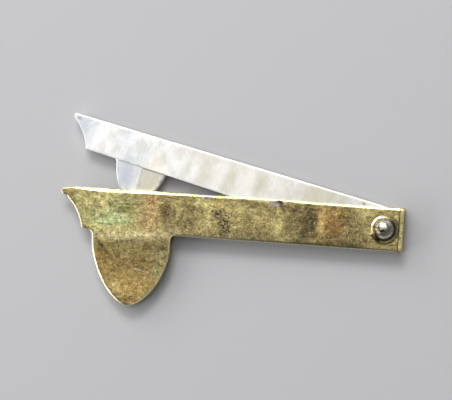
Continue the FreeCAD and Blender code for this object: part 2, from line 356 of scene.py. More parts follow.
# %% Mark the wear
def mark_wear(piece, outline, fade, turn=0.0, within_reach=None, also=None):
    """Write each point's nearness to an outline, given in millimetres, on the mesh. One rule of
    the place may lessen it, and another may add places worn for another reason."""
    mesh = piece.data
    back = Matrix.Rotation(math.radians(-turn), 4, "Z")
    shift = Vector((PIVOT_X, 0, 0))
    solid = np.array([tuple(back @ (v.co / MM - shift)) for v in mesh.vertices])
    places = solid[:, :2]
    wear = np.exp(-(gap_to(places, outline) / fade) ** 2)
    if within_reach is not None:
        wear = wear * within_reach(*solid.T)
    if also is not None:
        wear = np.maximum(wear, also(*places.T))
    mesh.attributes.new("wear", "FLOAT", "POINT").data.foreach_set("value", wear)
    print(piece.name, "worn points", int((wear > 0.5).sum()))

# %% [markdown]
# ## The covers' outline
# Both covers were cut to one template: a straight bar with a beak at the far end, a stepped,
# hollowed end below the beak, and a deep rounded lobe that guards the cutting edge.

# %% Draw the covers' outline
BEAK_NOSE = 0.65
BEAK_DROOP = 0.75
LOBE_ROOT_ROUND = 1.1
LOBE_SHARES = ((0.0, 1.0), (0.22, 0.98), (0.42, 0.895), (0.65, 0.715), (0.84, 0.47))
LEFT_FLARE = 0.3


def cover_outline(end_x, end_round):
    """The template's outline, counterclockwise, from the top of the pivot end."""
    nose_x = BEAK + BEAK_NOSE
    nose_y = BAR_HALF - BEAK_DROOP - BEAK_NOSE
    chin = (nose_x - 0.25, BAR_HALF - 2.3)
    throat = (nose_x + 1.05, BAR_HALF - 2.67)
    shelf = (nose_x + 1.45, BAR_HALF - 3.25)
    foot_x = shelf[0] + 3.9
    foot_y = -BAR_HALF + 0.6
    root_y = -BAR_HALF - LOBE_ROOT_ROUND
    drop = LOBE_FOOT - root_y
    left = [(LOBE_X - LOBE_HALF * w - LEFT_FLARE * max(0, 1 - 2.4 * d), root_y + drop * d)
            for d, w in LOBE_SHARES]
    right = [(LOBE_X + LOBE_HALF * w, root_y + drop * d) for d, w in reversed(LOBE_SHARES)]
    lobe = sweep(left + [(LOBE_X, LOBE_FOOT)] + right, (0.08, -1), (0, 1))
    heel = [(foot_x, foot_y), (foot_x + 0.55, foot_y - 0.28), (foot_x + 2.45, foot_y - 0.8), left[0]]
    top_start = (BEAK + 8.0, BAR_HALF)
    top_middle = (BEAK + 3.6, BAR_HALF - 0.3 * BEAK_DROOP)
    nose_top = (nose_x, BAR_HALF - BEAK_DROOP)
    slope = np.array((-1, -0.3)) / math.hypot(1, 0.3)
    parts = [
        run((end_x - end_round, BAR_HALF), top_start),
        sweep([top_start, top_middle, nose_top], (-1, 0), slope),
        bend((nose_x, nose_y), BEAK_NOSE, 90, 180),
        runs((nose_x - BEAK_NOSE, nose_y), chin, throat, shelf),
        bow(shelf, (foot_x, foot_y), 0.65),
        sweep(heel, (0.4, -1), (0.08, -1)),
        lobe,
        bend((LOBE_X + LOBE_HALF + LOBE_ROOT_ROUND, root_y), LOBE_ROOT_ROUND, 180, 90),
        run((LOBE_X + LOBE_HALF + LOBE_ROOT_ROUND, -BAR_HALF), (end_x - end_round, -BAR_HALF)),
        bend((end_x - end_round, -BAR_HALF + end_round), end_round, 270, 360, 0.05),
        run((end_x, -BAR_HALF + end_round), (end_x, BAR_HALF - end_round)),
        bend((end_x - end_round, BAR_HALF - end_round), end_round, 0, 90, 0.05),
    ]
    return np.concatenate(parts)


def hand_cut(outline, depth, wave, place):
    """The outline as a saw and file leave it: nowhere outside the template."""
    uneven = (ripple(outline[:, 0], outline[:, 1], wave, place) - 1) / 2
    return outline - inward(outline) * (uneven * depth)[:, None]

# %% [markdown]
# ## The front cover's face
# The bar is flat, and the lobe below it is folded inwards by a few degrees along a soft crease,
# then flattens again towards its foot. In the photo that fold shows as a darker lobe under a
# lighter bar. A file has left a bevel along the top edge, wider near the beak. On top of that
# come what years of handling do: long shallow waves, small dents and one nick in the top edge.

# %% Heights of the front cover
CREASE_Y = -BAR_HALF - 1.45
CREASE_TILT = 0.065
CREASE_RADIUS = 17.0
DISH = math.radians(5)
DISH_RETURN = math.radians(2)
DISH_START = CREASE_Y - CREASE_RADIUS * math.sin(DISH)
DISH_RADIUS = (DISH_START - LOBE_FOOT + 2) / (math.sin(DISH) + math.sin(DISH_RETURN))
DISH_CENTRE_Y = CREASE_Y - (CREASE_RADIUS + DISH_RADIUS) * math.sin(DISH)
DISH_CENTRE_Z = (CREASE_RADIUS + DISH_RADIUS) * math.cos(DISH) - CREASE_RADIUS
BEVEL_WAVER = 4.0
BEVEL_SOFT = 0.045
NICK_AT, NICK_HALF, NICK_DEPTH = (-26.9, 4.9), (1.1, 0.7), 0.4
SCOOP_AT, SCOOP_HALF, SCOOP_DEPTH = (-50.5, 3.9), (4.0, 0.7), 0.05
BEVEL_MARKS = (-83.0, -79.0, -74.0, -68.0, -60.0, -52.0, -44.0, -36.0, -32.0, -24.5, -20.0, 5.0)
BEVEL_WIDTHS = (0.45, 0.8, 1.05, 1.0, 0.82, 0.66, 0.55, 0.42, 0.3, 0.3, 0.5, 0.6)
BEVEL_SLOPES = (29.0, 28.0, 28.0, 28.0, 28.0, 29.0, 29.0, 31.0, 36.0, 34.0, 28.0, 28.0)


def fold(x, y):
    """How far the lobe lies below the bar's face. The crease runs a little aslant, and its slant
    goes on past the lobe, so near the rivet the bar's lower edge sinks by about 0.1 mm too."""
    y = y - CREASE_TILT * (x - LOBE_X)
    down = np.clip(CREASE_Y - y, 0, CREASE_RADIUS * math.sin(DISH))
    crease = CREASE_RADIUS - np.sqrt(CREASE_RADIUS ** 2 - down ** 2)
    across = np.clip(y - DISH_CENTRE_Y, None, DISH_RADIUS * math.sin(DISH))
    dish = -(DISH_CENTRE_Z - np.sqrt(DISH_RADIUS ** 2 - across ** 2))
    return np.where(y > DISH_START, crease, dish)


def bevel_line(x):
    """The height at which the file's bevel starts."""
    return BAR_HALF - np.interp(x, BEVEL_MARKS, BEVEL_WIDTHS)


def bevel_drop(x, y):
    """How much the file took off near the top edge, never quite at the same slope."""
    slope = np.interp(x, BEVEL_MARKS, BEVEL_SLOPES) + BEVEL_WAVER * ripple(x, y * 0.2, 2.2, 6.1)
    return -soft_min(np.zeros_like(y), (bevel_line(x) - y) * np.tan(np.radians(slope)), BEVEL_SOFT)


def dent(x, y, at, half, turn, depth):
    """A smooth hollow, at a place, with half sizes along and across a direction."""
    c, s = math.cos(math.radians(turn)), math.sin(math.radians(turn))
    along = ((x - at[0]) * c + (y - at[1]) * s) / half[0]
    across = (-(x - at[0]) * s + (y - at[1]) * c) / half[1]
    return depth * np.exp(-(along ** 2 + across ** 2) * 1.5)


def front_top(x, y):
    waves = 0.035 * (1 - ripple(x, y, 11.0, 3.1)) + 0.012 * (1 - ripple(x, y, 3.4, 8.3))
    nick = dent(x, y, NICK_AT, NICK_HALF, 35, NICK_DEPTH)
    scoop = dent(x, y, SCOOP_AT, SCOOP_HALF, -14, SCOOP_DEPTH)
    return CASE_TOP - fold(x, y) - bevel_drop(x, y) - waves - nick - scoop


def front_low(x, y):
    return CASE_TOP - SHEET - fold(x, y)


outline = even(hand_cut(cover_outline(SEAM, 0.12), 0.06, 6.0, 2.2), 0.25)
near_seam = np.clip((SEAM - outline[:, 0] - 0.15) / 1.2, 0, 1)
near_top = np.clip((outline[:, 1] - BAR_HALF + 1.0) / 0.8, 0, 1)
faces_left = np.clip(inward(outline) @ (0.9, 0.43), 0, 1)
on_lobe = np.clip((-BAR_HALF - 0.5 - outline[:, 1]) / 2.0, 0, 1)
front_roll = (0.05 + 0.11 * near_seam) * (1 - 0.3 * near_top) + 0.1 * faces_left * near_seam
front_reach = front_roll + 0.16 * faces_left + 0.1 * faces_left * on_lobe
front_flat = 0.9 * faces_left
arris = [(x, bevel_line(x) + d) for x in np.arange(BEAK, SEAM, 0.3) for d in (-0.1, 0, 0.1)]
rivet_seat = 1.52
front_hole = [(rivet_seat, CASE_TOP), (rivet_seat, CASE_TOP - SHEET)]
points, faces = plate(outline, front_top, front_low, front_roll, np.full(len(outline), 0.12),
                      [front_hole], arris, reach=front_reach, flat=front_flat)
front_cover = make_piece("front_cover_skin", points, faces, "case", "cover_brass")
rim = outline[outline[:, 0] < SEAM - 0.3]
FINGER_REACH = 0.4
INNER_WEAR = 0.25


def outer_corner(x, y, z):
    """1 near the sheet's outer face, falling to a quarter at its inner face."""
    within = (z + fold(x, y) - CASE_TOP + SHEET) / (SHEET - FINGER_REACH)
    return np.clip(within, INNER_WEAR, 1)


mark_wear(front_cover, rim, 0.3, within_reach=outer_corner,
          also=lambda x, y: np.clip(bevel_drop(x, y) / 0.08, 0, 1))
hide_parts("front_cover")

# %% [markdown]
# ## The rear cover
# It has the same outline, but its end is turned up as a wall that closes the case at the rivet
# end, right up to the front cover's face. The wall rises so steeply from the plate that two rows
# of points a hundredth of a millimetre apart are enough to draw it.

# %% Rear cover with its end wall
WALL_STEP = 0.01


def rear_top(x, y):
    sheet = SHEET + fold(x, y)
    wall = CASE_TOP - bevel_drop(x, y) - 0.02 * (1 - ripple(x, y, 5.0, 4.4))
    return np.where(x > WALL_FACE, wall, sheet)


def rear_low(x, y):
    waves = 0.03 * (1 - ripple(x, y, 12.0, 6.6)) + 0.01 * (1 - ripple(x, y, 3.1, 1.9))
    return fold(x, y) + bevel_drop(x, y) + waves


wall_rows = [(WALL_FACE + d, y) for y in np.arange(-5.4, 5.5, 0.3) for d in (-WALL_STEP, WALL_STEP, 0.1)]
outline = even(cover_outline(CASE_END, 0.35), 0.25, (WALL_FACE - WALL_STEP, WALL_FACE + WALL_STEP))
on_wall = outline[:, 0] > WALL_FACE
rear_roll = np.where(on_wall, 0.09, 0.12)
low_roll = np.where(outline[:, 1] > BAR_HALF - 0.3, 0.16, 0.28)
tail_radius = 2.52
tail_depth = 0.75
rear_hole = [(rivet_seat, SHEET), (rivet_seat, tail_depth), (tail_radius, 0)]
points, faces = plate(outline, rear_top, rear_low, rear_roll, low_roll, [rear_hole], wall_rows, 0.8, 0.6)
rear_cover = make_piece("rear_cover_skin", points, faces, "case", "cover_brass")
rim = outline[outline[:, 0] < WALL_FACE - 0.3]
mark_wear(rear_cover, rim, 0.12, within_reach=lambda x, y, z: outer_corner(x, y, CASE_TOP - z))
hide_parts("rear_cover")

# %% [markdown]
# ## The blade
# The cutler forged the shank and its cutting spade in one. The shank is a flat bar, a little
# narrower towards the beaked tip; the spade is thin, with a ridge down its middle and honed
# edges. We draw the blade closed, and turn it by the angle at which it lies open.

# %% Shank of the blade
REST_OPENING = 12.8
SPINE_Y = 5.6
TIP_X = BEAK - 1.2
HEEL_X = 3.65
SHANK_HALF = 1.15
TIP_SLANT = 5.3
STOP_ANGLE = 55.0


def shank_low_y(x):
    start = TIP_X + TIP_SLANT
    return -2.6 - 1.8 * (x - start) / (HEEL_X - start)


def shank_outline():
    tip_low = (TIP_X + TIP_SLANT, shank_low_y(TIP_X + TIP_SLANT))
    land_end = (TIP_X + 1.3 * 0.15, SPINE_Y - 1.3)
    corner_x = HEEL_X - 0.8
    corner_y = shank_low_y(corner_x)
    stop = HEEL_X * np.array((math.cos(math.radians(STOP_ANGLE)), math.sin(math.radians(STOP_ANGLE))))
    shoulder = (stop[0] - (SPINE_Y - stop[1]) * math.tan(math.radians(STOP_ANGLE)), SPINE_Y)
    return np.concatenate([
        run(shoulder, (TIP_X + 0.15, SPINE_Y)),
        run((TIP_X + 0.02, SPINE_Y - 0.12), land_end),
        bow(land_end, tip_low, 0.75),
        run(tip_low, (corner_x, corner_y)),
        bend((corner_x, corner_y + 0.8), 0.8, 270, 360),
        run((HEEL_X, corner_y + 0.8), (HEEL_X, 0)),
        bend((0, 0), HEEL_X, 0, STOP_ANGLE),
        run(stop, shoulder),
    ])


def shank_top(x, y):
    grinding = 0.012 * (1 - ripple(x, y * 0.25, 5.0, 5.5))
    return MID + SHANK_HALF - grinding


def shank_low(x, y):
    grinding = 0.012 * (1 - ripple(x, y * 0.25, 5.0, 9.5))
    return MID - SHANK_HALF + grinding


outline = even(shank_outline(), 0.22)
spine = np.clip((outline[:, 1] - SPINE_Y + 0.2) / 0.15, 0, 1)
blade_roll = 0.06 + 0.22 * spine
hole_radius = 1.55
blade_hole = [(hole_radius, MID + SHANK_HALF), (hole_radius, MID - SHANK_HALF)]
shank_skin = plate(outline, shank_top, shank_low, blade_roll, blade_roll, [blade_hole], (), 0.5, 0.5)
print("shank", len(shank_skin[0]), "points")

# %% [markdown]
# The spade is a second plate, thin as a leaf, whose height falls from the ridge to the sides and
# down to nothing at the honed edge. A Boolean modifier welds it to the shank.

# %% Spade of the blade
SPADE_HALF = 6.7
SPADE_DEPTH = 11.2
FLARE = 5.0
FLARE_DEPTH = 0.9
WELD = 1.2
SIDE_BULGE = 1.05
ROOT_Y = shank_low_y(LOBE_X)
SPADE_TIP = ROOT_Y - SPADE_DEPTH


def flare_curve(side):
    """From the shank's lower edge down into the spade's side."""
    far = LOBE_X + side * (SPADE_HALF + FLARE)
    end = (LOBE_X + side * SPADE_HALF, ROOT_Y - FLARE_DEPTH)
    return sweep([(far, shank_low_y(far)), end], (-side, 0), (0, -1), 24)


def spade_outline():
    left_root = (LOBE_X - SPADE_HALF, ROOT_Y - FLARE_DEPTH)
    right_root = (LOBE_X + SPADE_HALF, ROOT_Y - FLARE_DEPTH)
    tip = (LOBE_X, SPADE_TIP)
    far_left, far_right = LOBE_X - SPADE_HALF - FLARE, LOBE_X + SPADE_HALF + FLARE
    low_left, low_right = shank_low_y(far_left), shank_low_y(far_right)
    return np.concatenate([
        runs((far_right, low_right + WELD), (far_left, low_left + WELD), (far_left, low_left)),
        flare_curve(-1),
        bow(left_root, tip, -SIDE_BULGE),
        bow(tip, right_root, -SIDE_BULGE),
        flare_curve(1)[::-1],
        run((far_right, low_right), (far_right, low_right + WELD)),
    ])


spade_line = even(spade_outline(), 0.2)


def edge_distance(x, y):
    """How far a place lies inside the honed edge."""
    honed = spade_line[spade_line[:, 1] < ROOT_Y + 0.5]
    return gap_to(np.stack([x, y], 1), honed)


def spade_half(x, y):
    """Half the spade's thickness."""
    facet = 0.65 - 0.067 * np.abs(x - LOBE_X) - 0.045 * np.clip(ROOT_Y - y, 0, None)
    facet = soft_min(facet, np.full_like(facet, 0.64), 0.01)
    facet = np.maximum(facet, 0.15)
    honing = 0.02 + 0.48 * edge_distance(x, y)
    return soft_min(facet, honing, 0.02)


ridge_rows = [(LOBE_X + d, y) for y in np.arange(SPADE_TIP, ROOT_Y, 0.25) for d in (-0.16, 0, 0.16)]
inset = spade_line + inward(spade_line) * 0.42
ridge_rows += [tuple(p) for p in inset if p[1] < ROOT_Y - 0.5]
thin = np.full(len(spade_line), 0.015)
spade_skin = plate(spade_line, lambda x, y: MID + spade_half(x, y), lambda x, y: MID - spade_half(x, y),
                   thin, thin, (), ridge_rows, 0.4, 0.4)
blade = make_piece("blade_skin", *shank_skin, "blade", "blade_steel", -REST_OPENING)
spade = make_piece("spade_skin", *spade_skin, "blade", "blade_steel", -REST_OPENING)
weld = blade.modifiers.new("weld", "BOOLEAN")
weld.operation = "UNION"
weld.solver = "EXACT"
weld.object = spade
bpy.context.view_layer.update()
welded = bpy.data.meshes.new_from_object(blade.evaluated_get(bpy.context.evaluated_depsgraph_get()))
blade.modifiers.clear()
blade.data = welded
bpy.data.objects.remove(spade)
rim = shank_outline()
rim = rim[(rim[:, 1] > 0) | (np.abs(rim[:, 0] - LOBE_X) > SPADE_HALF + FLARE)]
honed = spade_line[spade_line[:, 1] < ROOT_Y + 0.1]
mark_wear(blade, np.concatenate([rim, honed]), 0.3, -REST_OPENING)
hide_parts("blade")
print("blade welded", len(welded.vertices), "points")

# %% [markdown]
# ## Rivet and ring
# Both are round, so they are turned: a profile is swept round the axis. A real rivet head has
# been struck with a hammer and is never quite round, so each point is nudged a little. The ring
# carries a burr on the side where the punch slipped.

# %% Turn a profile
def turned(profile, segments, nudge):
    """A closed skin from (radius, height) steps, first and last on the axis or joined."""
    points, faces, rings = [], [], []
    for radius, z in profile:
        if radius < 1e-6:
            rings.append([len(points)])
            points.append((0.0, 0.0, z))
            continue
        ring = []
        for i in range(segments):
            angle = 2 * math.pi * i / segments
            r, h = nudge(radius, z, angle)
            ring.append(len(points))
            points.append((r * math.cos(angle), r * math.sin(angle), h))
        rings.append(ring)
    closed = len(rings[0]) > 1
    pairs = list(zip(rings, rings[1:] + (rings[:1] if closed else [])))
    for above, below in pairs:
        for i in range(segments):
            j = (i + 1) % segments
            if len(above) == 1:
                faces.append((above[0], below[i], below[j]))
            elif len(below) == 1:
                faces.append((above[i], below[0], above[j]))
            else:
                faces.append((above[i], below[i], below[j], above[j]))
    return points, faces


HEAD_BASE = CASE_TOP + 0.6
HEAD_RADIUS = 2.9
HEAD_HEIGHT = 2.0
BALL = (HEAD_RADIUS ** 2 + HEAD_HEIGHT ** 2) / (2 * HEAD_HEIGHT)
RIVET_RADIUS = 1.5


def struck(radius, z, angle):
    """Hammer facets on the dome, which fade towards its rim."""
    if z <= HEAD_BASE + 0.05:
        return radius, z
    x, y = radius * math.cos(angle), radius * math.sin(angle)
    dip = 0.04 * (1 - noise.noise(Vector((x * 0.9 + 4, y * 0.9, 2.0))))
    return radius * (1 - dip * 0.2), z - dip


top_angle = math.asin(HEAD_RADIUS / BALL)
dome = [(BALL * math.sin(a), HEAD_BASE + HEAD_HEIGHT - BALL + BALL * math.cos(a))
        for a in np.linspace(0, top_angle * 0.96, 26)]
shaft = [(RIVET_RADIUS, HEAD_BASE), (RIVET_RADIUS, tail_depth), (2.46, 0.03), (2.4, 0.0), (0.0, 0.0)]
rivet_profile = dome + [(HEAD_RADIUS, HEAD_BASE + 0.06), (HEAD_RADIUS, HEAD_BASE)] + shaft
rivet = make_piece("rivet_skin", *turned(rivet_profile, 96, struck), "case", "rivet_steel")
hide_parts("pivot_rivet")

RING_RADIUS = 3.6
RING_LOW = CASE_TOP - 0.02
BURR_AT = 205
BURR_HALF = 5.0
BURR_REACH = 0.68
BURR_RISE = 0.35


def burred(radius, z, angle):
    """The ring's rim wanders a little, and a burr stands up at its lower left."""
    wander = 0.03 * noise.noise(Vector((math.cos(angle) * 1.5, math.sin(angle) * 1.5, 9.0)))
    if radius < 3.0:
        return radius, z
    burr = math.exp(-((math.degrees(angle) - BURR_AT) / BURR_HALF) ** 2)
    return radius - 0.04 + wander + BURR_REACH * burr, z + BURR_RISE * burr


ring_steps = ((rivet_seat, 0.6), (2.7, 0.6), (2.86, 0.58), (2.98, 0.53), (3.25, 0.37), (3.46, 0.24),
              (3.56, 0.13), (RING_RADIUS, 0.03))
ring_profile = [(radius, CASE_TOP + rise) for radius, rise in ring_steps]
ring_profile += [(RING_RADIUS - 0.03, RING_LOW), (rivet_seat, RING_LOW)]
ring = make_piece("ring_skin", *turned(ring_profile, 120, burred), "case", "washer_brass")
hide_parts("head_washer")

# %% [markdown]
# ## Finishes
# Metal is mostly what it reflects, so each finish needs three things that agree: a colour that
# varies as tarnish does, a roughness that varies with it, and tiny relief from pits and
# scratches. A few short helpers keep the node lists readable.

# %% Helpers for nodes
def put(tree, kind, inputs=None, **settings):
    """One node with its settings; inputs are values or another node's socket."""
    made = tree.nodes.new("ShaderNode" + kind)
    for key, value in settings.items():
        setattr(made, key, value)
    for key, value in (inputs or {}).items():
        if isinstance(value, bpy.types.NodeSocket):
            tree.links.new(value, made.inputs[key])
        else:
            made.inputs[key].default_value = value
    return made


def start_finish(name, metallic=1.0):
    """A new material, its node tree, its shader, and places in millimetres."""
    material = bpy.data.materials.new(name)
    material.use_nodes = True
    tree = material.node_tree
    shader = tree.nodes["Principled BSDF"]
    shader.inputs["Metallic"].default_value = metallic
    source = put(tree, "TexCoord").outputs["Object"]
    place = put(tree, "VectorMath", {0: source, 1: (1000, 1000, 1000)}, operation="MULTIPLY")
    return material, tree, shader, place.outputs[0]


def speckle(tree, place, size, detail=2.0, rough=0.5, stretch=(1, 1, 1), shift=0.0, turn=0.0):
    """Noise whose grains are about size millimetres across."""
    scaled = put(tree, "Mapping", {"Vector": place, "Scale": [s / size for s in stretch],
                                   "Location": (shift, shift, shift),
                                   "Rotation": (0, 0, math.radians(turn))})
    grains = {"Vector": scaled.outputs[0], "Scale": 1.0, "Detail": detail, "Roughness": rough}
    return put(tree, "TexNoise", grains).outputs["Fac"]


def spread(tree, value, low, high, to_low=0.0, to_high=1.0, smooth=True):
    """The value stretched from one range to another."""
    ranges = {"Value": value, "From Min": low, "From Max": high, "To Min": to_low, "To Max": to_high}
    made = put(tree, "MapRange", ranges, interpolation_type="SMOOTHSTEP" if smooth else "LINEAR")
    return made.outputs[0]


def calc(tree, operation, a, b):
    return put(tree, "Math", {0: a, 1: b}, operation=operation).outputs[0]


def times(tree, a, b):
    return calc(tree, "MULTIPLY", a, b)


def plus(tree, a, b):
    return calc(tree, "ADD", a, b)


def metal(tree, shader, colour, roughness, relief, depth):
    """Link a finish's colour, its roughness and its relief, which is a depth in millimetres."""
    bump = put(tree, "Bump", {"Height": relief, "Strength": 1.0, "Distance": depth * MM})
    for socket, value in (("Base Color", colour), ("Roughness", roughness), ("Normal", bump.outputs[0])):
        tree.links.new(value, shader.inputs[socket])


def blend(tree, share, a, b, mode="MIX"):
    made = put(tree, "Mix", data_type="RGBA", blend_type=mode)
    for key, value in ((0, share), (6, a), (7, b)):
        if isinstance(value, bpy.types.NodeSocket):
            tree.links.new(value, made.inputs[key])
        elif key == 0:
            made.inputs[key].default_value = value
        else:
            made.inputs[key].default_value = (*value, 1)
    return made.outputs[2]

# %% [markdown]
# ## Old brass
# Brass left alone turns olive and brown, in patches that follow fingers, damp and old polish, and
# heat or handling brings out copper. A Noise texture alone would spread that evenly, so each
# patch seen in the photo is placed one by one: an oval with a frayed rim and one of a few tarnish
# colours. A node tree may hold only so many patches before the renderer gives it up and paints
# it black, so each cover gets a finish of its own, made by one function.

# %% Patches with frayed rims
FRONT_LEVEL = 4.3
BACK_LEVEL = 0.0
LEVEL_HALF = 2.2
THIN = 0.6


def patch(tree, place, centre, half, turn=0.0, fray=None, soft=0.6, level=FRONT_LEVEL):
    """1 inside an oval of given half sizes in millimetres, fading to 0 outside it."""
    oval = {"Vector": place, "Location": (*centre, level), "Rotation": (0, 0, math.radians(turn)),
            "Scale": (*half, LEVEL_HALF)}
    moved = put(tree, "Mapping", oval, vector_type="TEXTURE")
    reach = put(tree, "VectorMath", {0: moved.outputs[0]}, operation="LENGTH").outputs["Value"]
    if fray is not None:
        reach = plus(tree, reach, fray)
    return spread(tree, reach, 1 + soft, 1 - soft)


def overlaid(tree, place, colour, patches, palette, fray=None, soft=0.65, level=FRONT_LEVEL):
    """The colour with every patch (kind, strength, centre, half sizes, and its turn if it has
    one) laid over it. Some patches are painted light. Thin patches fray less than broad ones."""
    fine_fray = None if fray is None else times(tree, fray, 0.45)
    for kind, strength, centre, half, *turn in patches:
        patch_fray = fray if min(half) > THIN else fine_fray
        share = patch(tree, place, centre, half, sum(turn), patch_fray, soft, level)
        colour = blend(tree, times(tree, share, strength), colour, palette[kind])
    return colour


def from_rivet(tree, place):
    """How far a place lies from the rivet's axis, in millimetres."""
    flat = put(tree, "VectorMath", {0: place, 1: (1, 1, 0)}, operation="MULTIPLY").outputs[0]
    away = put(tree, "VectorMath", {0: flat, 1: (PIVOT_X, 0, 0)}, operation="DISTANCE")
    return away.outputs["Value"]


def lower_right(tree, place):
    """How far a place lies to the lower right of the rivet's axis, in millimetres."""
    from_axis = put(tree, "VectorMath", {0: place, 1: (PIVOT_X, 0, 0)}, operation="SUBTRACT")
    return put(tree, "VectorMath", {0: from_axis.outputs[0], 1: (0.7, -0.7, 0)},
               operation="DOT_PRODUCT").outputs["Value"]


# Besides tarnish, some of these colours carry painted light: cream also gives painted glints and a painted
# highlight above the lobe's crease, umber also gives painted shade below that crease, round the ring and
# along the end wall's foot, and the gold is a painted sheen on the end wall.
BRASS_COLOURS = {
    "pale": (0.42, 0.385, 0.17),
    "straw": (0.62, 0.53, 0.22),
    "cream": (0.74, 0.67, 0.40),
    "wiped gold": (0.98, 0.83, 0.36),
    "pale green": (0.45, 0.53, 0.25),
    "olive green": (0.27, 0.28, 0.085),
    "dark olive": (0.14, 0.14, 0.05),
    "grey olive": (0.18, 0.14, 0.065),
    "grey green": (0.21, 0.185, 0.095),
    "umber": (0.10, 0.075, 0.035),
    "copper": (0.48, 0.325, 0.15),
    "orange": (0.50, 0.26, 0.08),
    "golden": (0.52, 0.36, 0.12),
    "orange brown": (0.29, 0.172, 0.062),
    "brown": (0.20, 0.105, 0.038),
    "grey": (0.34, 0.32, 0.28),
    "soot": (0.035, 0.03, 0.035),
}
BAR_STAINS = (
    ("pale", 0.95, (-31.0, -0.5), (9.0, 8.0)),
    ("straw", 0.6, (-35.5, 2.6), (3.6, 1.6)),
    ("dark olive", 0.6, (-41.0, 3.1), (0.5, 0.5)),
    ("grey olive", 0.6, (-38.6, 0.5), (0.9, 0.35), 20),
    ("grey olive", 0.5, (-35.4, -1.4), (0.6, 1.2)),
    ("grey olive", 0.45, (-33.5, 0.4), (0.9, 0.5), -20),
    ("olive green", 0.55, (-36.0, -1.8), (1.1, 2.3), 8),
    ("pale green", 1.0, (-29.6, -3.0), (4.4, 2.3)),
    ("straw", 0.75, (-25.5, -4.9), (11.0, 1.6), 2),
    ("olive green", 0.6, (-26.4, 0.6), (2.6, 1.6)),
    ("dark olive", 0.6, (-26.3, 1.7), (2.3, 0.3), 2),
    ("dark olive", 0.7, (-25.8, 0.8), (2.5, 0.35)),
    ("dark olive", 0.55, (-27.0, -0.3), (2.2, 0.3)),
    ("copper", 0.85, (-20.4, -0.8), (2.4, 6.5), 4),
    ("orange", 0.4, (-19.2, 3.2), (1.4, 0.7), -6),
    ("cream", 0.8, (-18.2, 2.7), (0.9, 0.16)),
    ("umber", 0.75, (-15.6, 0.8), (1.6, 2.1)),
    ("grey olive", 0.5, (-14.0, -1.5), (2.6, 2.6)),
    ("grey olive", 0.55, (-9.6, -0.6), (1.7, 4.6), 4),
    ("straw", 0.75, (-5.2, 3.1), (3.3, 1.2), -6),
    ("straw", 0.55, (-5.4, 0.6), (1.1, 2.4)),
    ("golden", 0.75, (-2.4, 3.6), (1.5, 0.9)),
    ("umber", 0.6, (-3.0, 0.4), (1.0, 1.3), 30),
    ("umber", 0.6, (-0.7, -1.6), (1.3, 1.9), -40),
    ("grey green", 0.65, (6.0, -4.9), (30.0, 0.6)),
    ("grey olive", 0.65, (5.5, -3.7), (11.0, 1.3)),
    ("straw", 0.45, (3.4, 1.5), (1.7, 2.6)),
    ("brown", 0.6, (10.9, -2.6), (0.55, 0.9)),
    ("straw", 0.6, (12.4, -1.2), (2.0, 1.7)),
    ("grey olive", 0.65, (18.6, 0.0), (3.4, 5.2)),
    ("umber", 0.9, (21.0, 0.6), (2.1, 4.9), 2),
    ("umber", 0.5, (17.5, 3.6), (3.6, 0.7)),
    ("golden", 0.5, (27.6, 3.2), (3.2, 0.9), -4),
    ("orange brown", 0.95, (27.2, -0.1), (3.0, 4.6)),
    ("golden", 0.75, (24.0, 0.3), (0.8, 4.6), 2),
    ("brown", 0.75, (27.9, -0.2), (1.4, 2.4)),
    ("copper", 0.5, (25.5, -4.0), (3.4, 0.5)),
    ("umber", 0.6, (30.0, 2.2), (1.3, 0.3), 14),
    ("umber", 0.6, (28.0, -3.5), (8.5, 1.8)),
    ("grey olive", 0.65, (32.2, 0.2), (2.6, 3.4)),
    ("straw", 0.7, (35.4, 3.7), (1.6, 1.3)),
    ("straw", 0.75, (39.8, -4.7), (3.6, 0.6)),
    ("straw", 0.55, (42.8, 0.0), (0.7, 5.0)),
)
LOBE_STAINS_AND_PAINTED_LIGHT = (
    ("orange brown", 0.5, (-24.5, -13.0), (9.5, 9.0)),
    ("pale", 0.45, (-24.0, -9.0), (8.0, 2.6)),
    # A painted highlight: a pale band along the top of the lobe's crease, slanted as the crease is.
    ("cream", 0.3, (-24.6, -6.0), (9.6, 1.2), 3.7),
    ("golden", 0.7, (-31.2, -13.0), (2.4, 4.6), 12),
    ("orange", 0.5, (-32.9, -12.0), (0.8, 3.0), 14),
    ("umber", 0.85, (-31.8, -9.9), (3.0, 0.5), -47),
    # Painted shade: a faint umber line just below the lobe's crease.
    ("umber", 0.2, (-24.5, -7.9), (7.5, 0.5), 3.7),
    ("golden", 0.3, (-24.0, -10.0), (6.0, 2.4)),
    ("golden", 0.75, (-24.4, -18.6), (5.6, 3.2)),
    ("straw", 0.6, (-28.0, -19.3), (1.3, 0.9), -40),
    ("pale", 0.7, (-17.2, -12.0), (1.3, 4.6), -4),
    ("umber", 0.7, (-16.4, -9.0), (0.9, 0.5)),
    ("brown", 0.65, (-24.0, -22.6), (3.6, 0.7)),
    ("brown", 0.65, (-18.6, -20.4), (1.7, 0.5), 45),
    ("cream", 0.8, (-23.0, -14.75), (1.0, 0.16), -12),
    ("cream", 0.6, (-20.2, -15.3), (2.0, 0.09), -10),
    ("orange brown", 0.6, (-41.1, 3.9), (0.5, 0.4)),
)
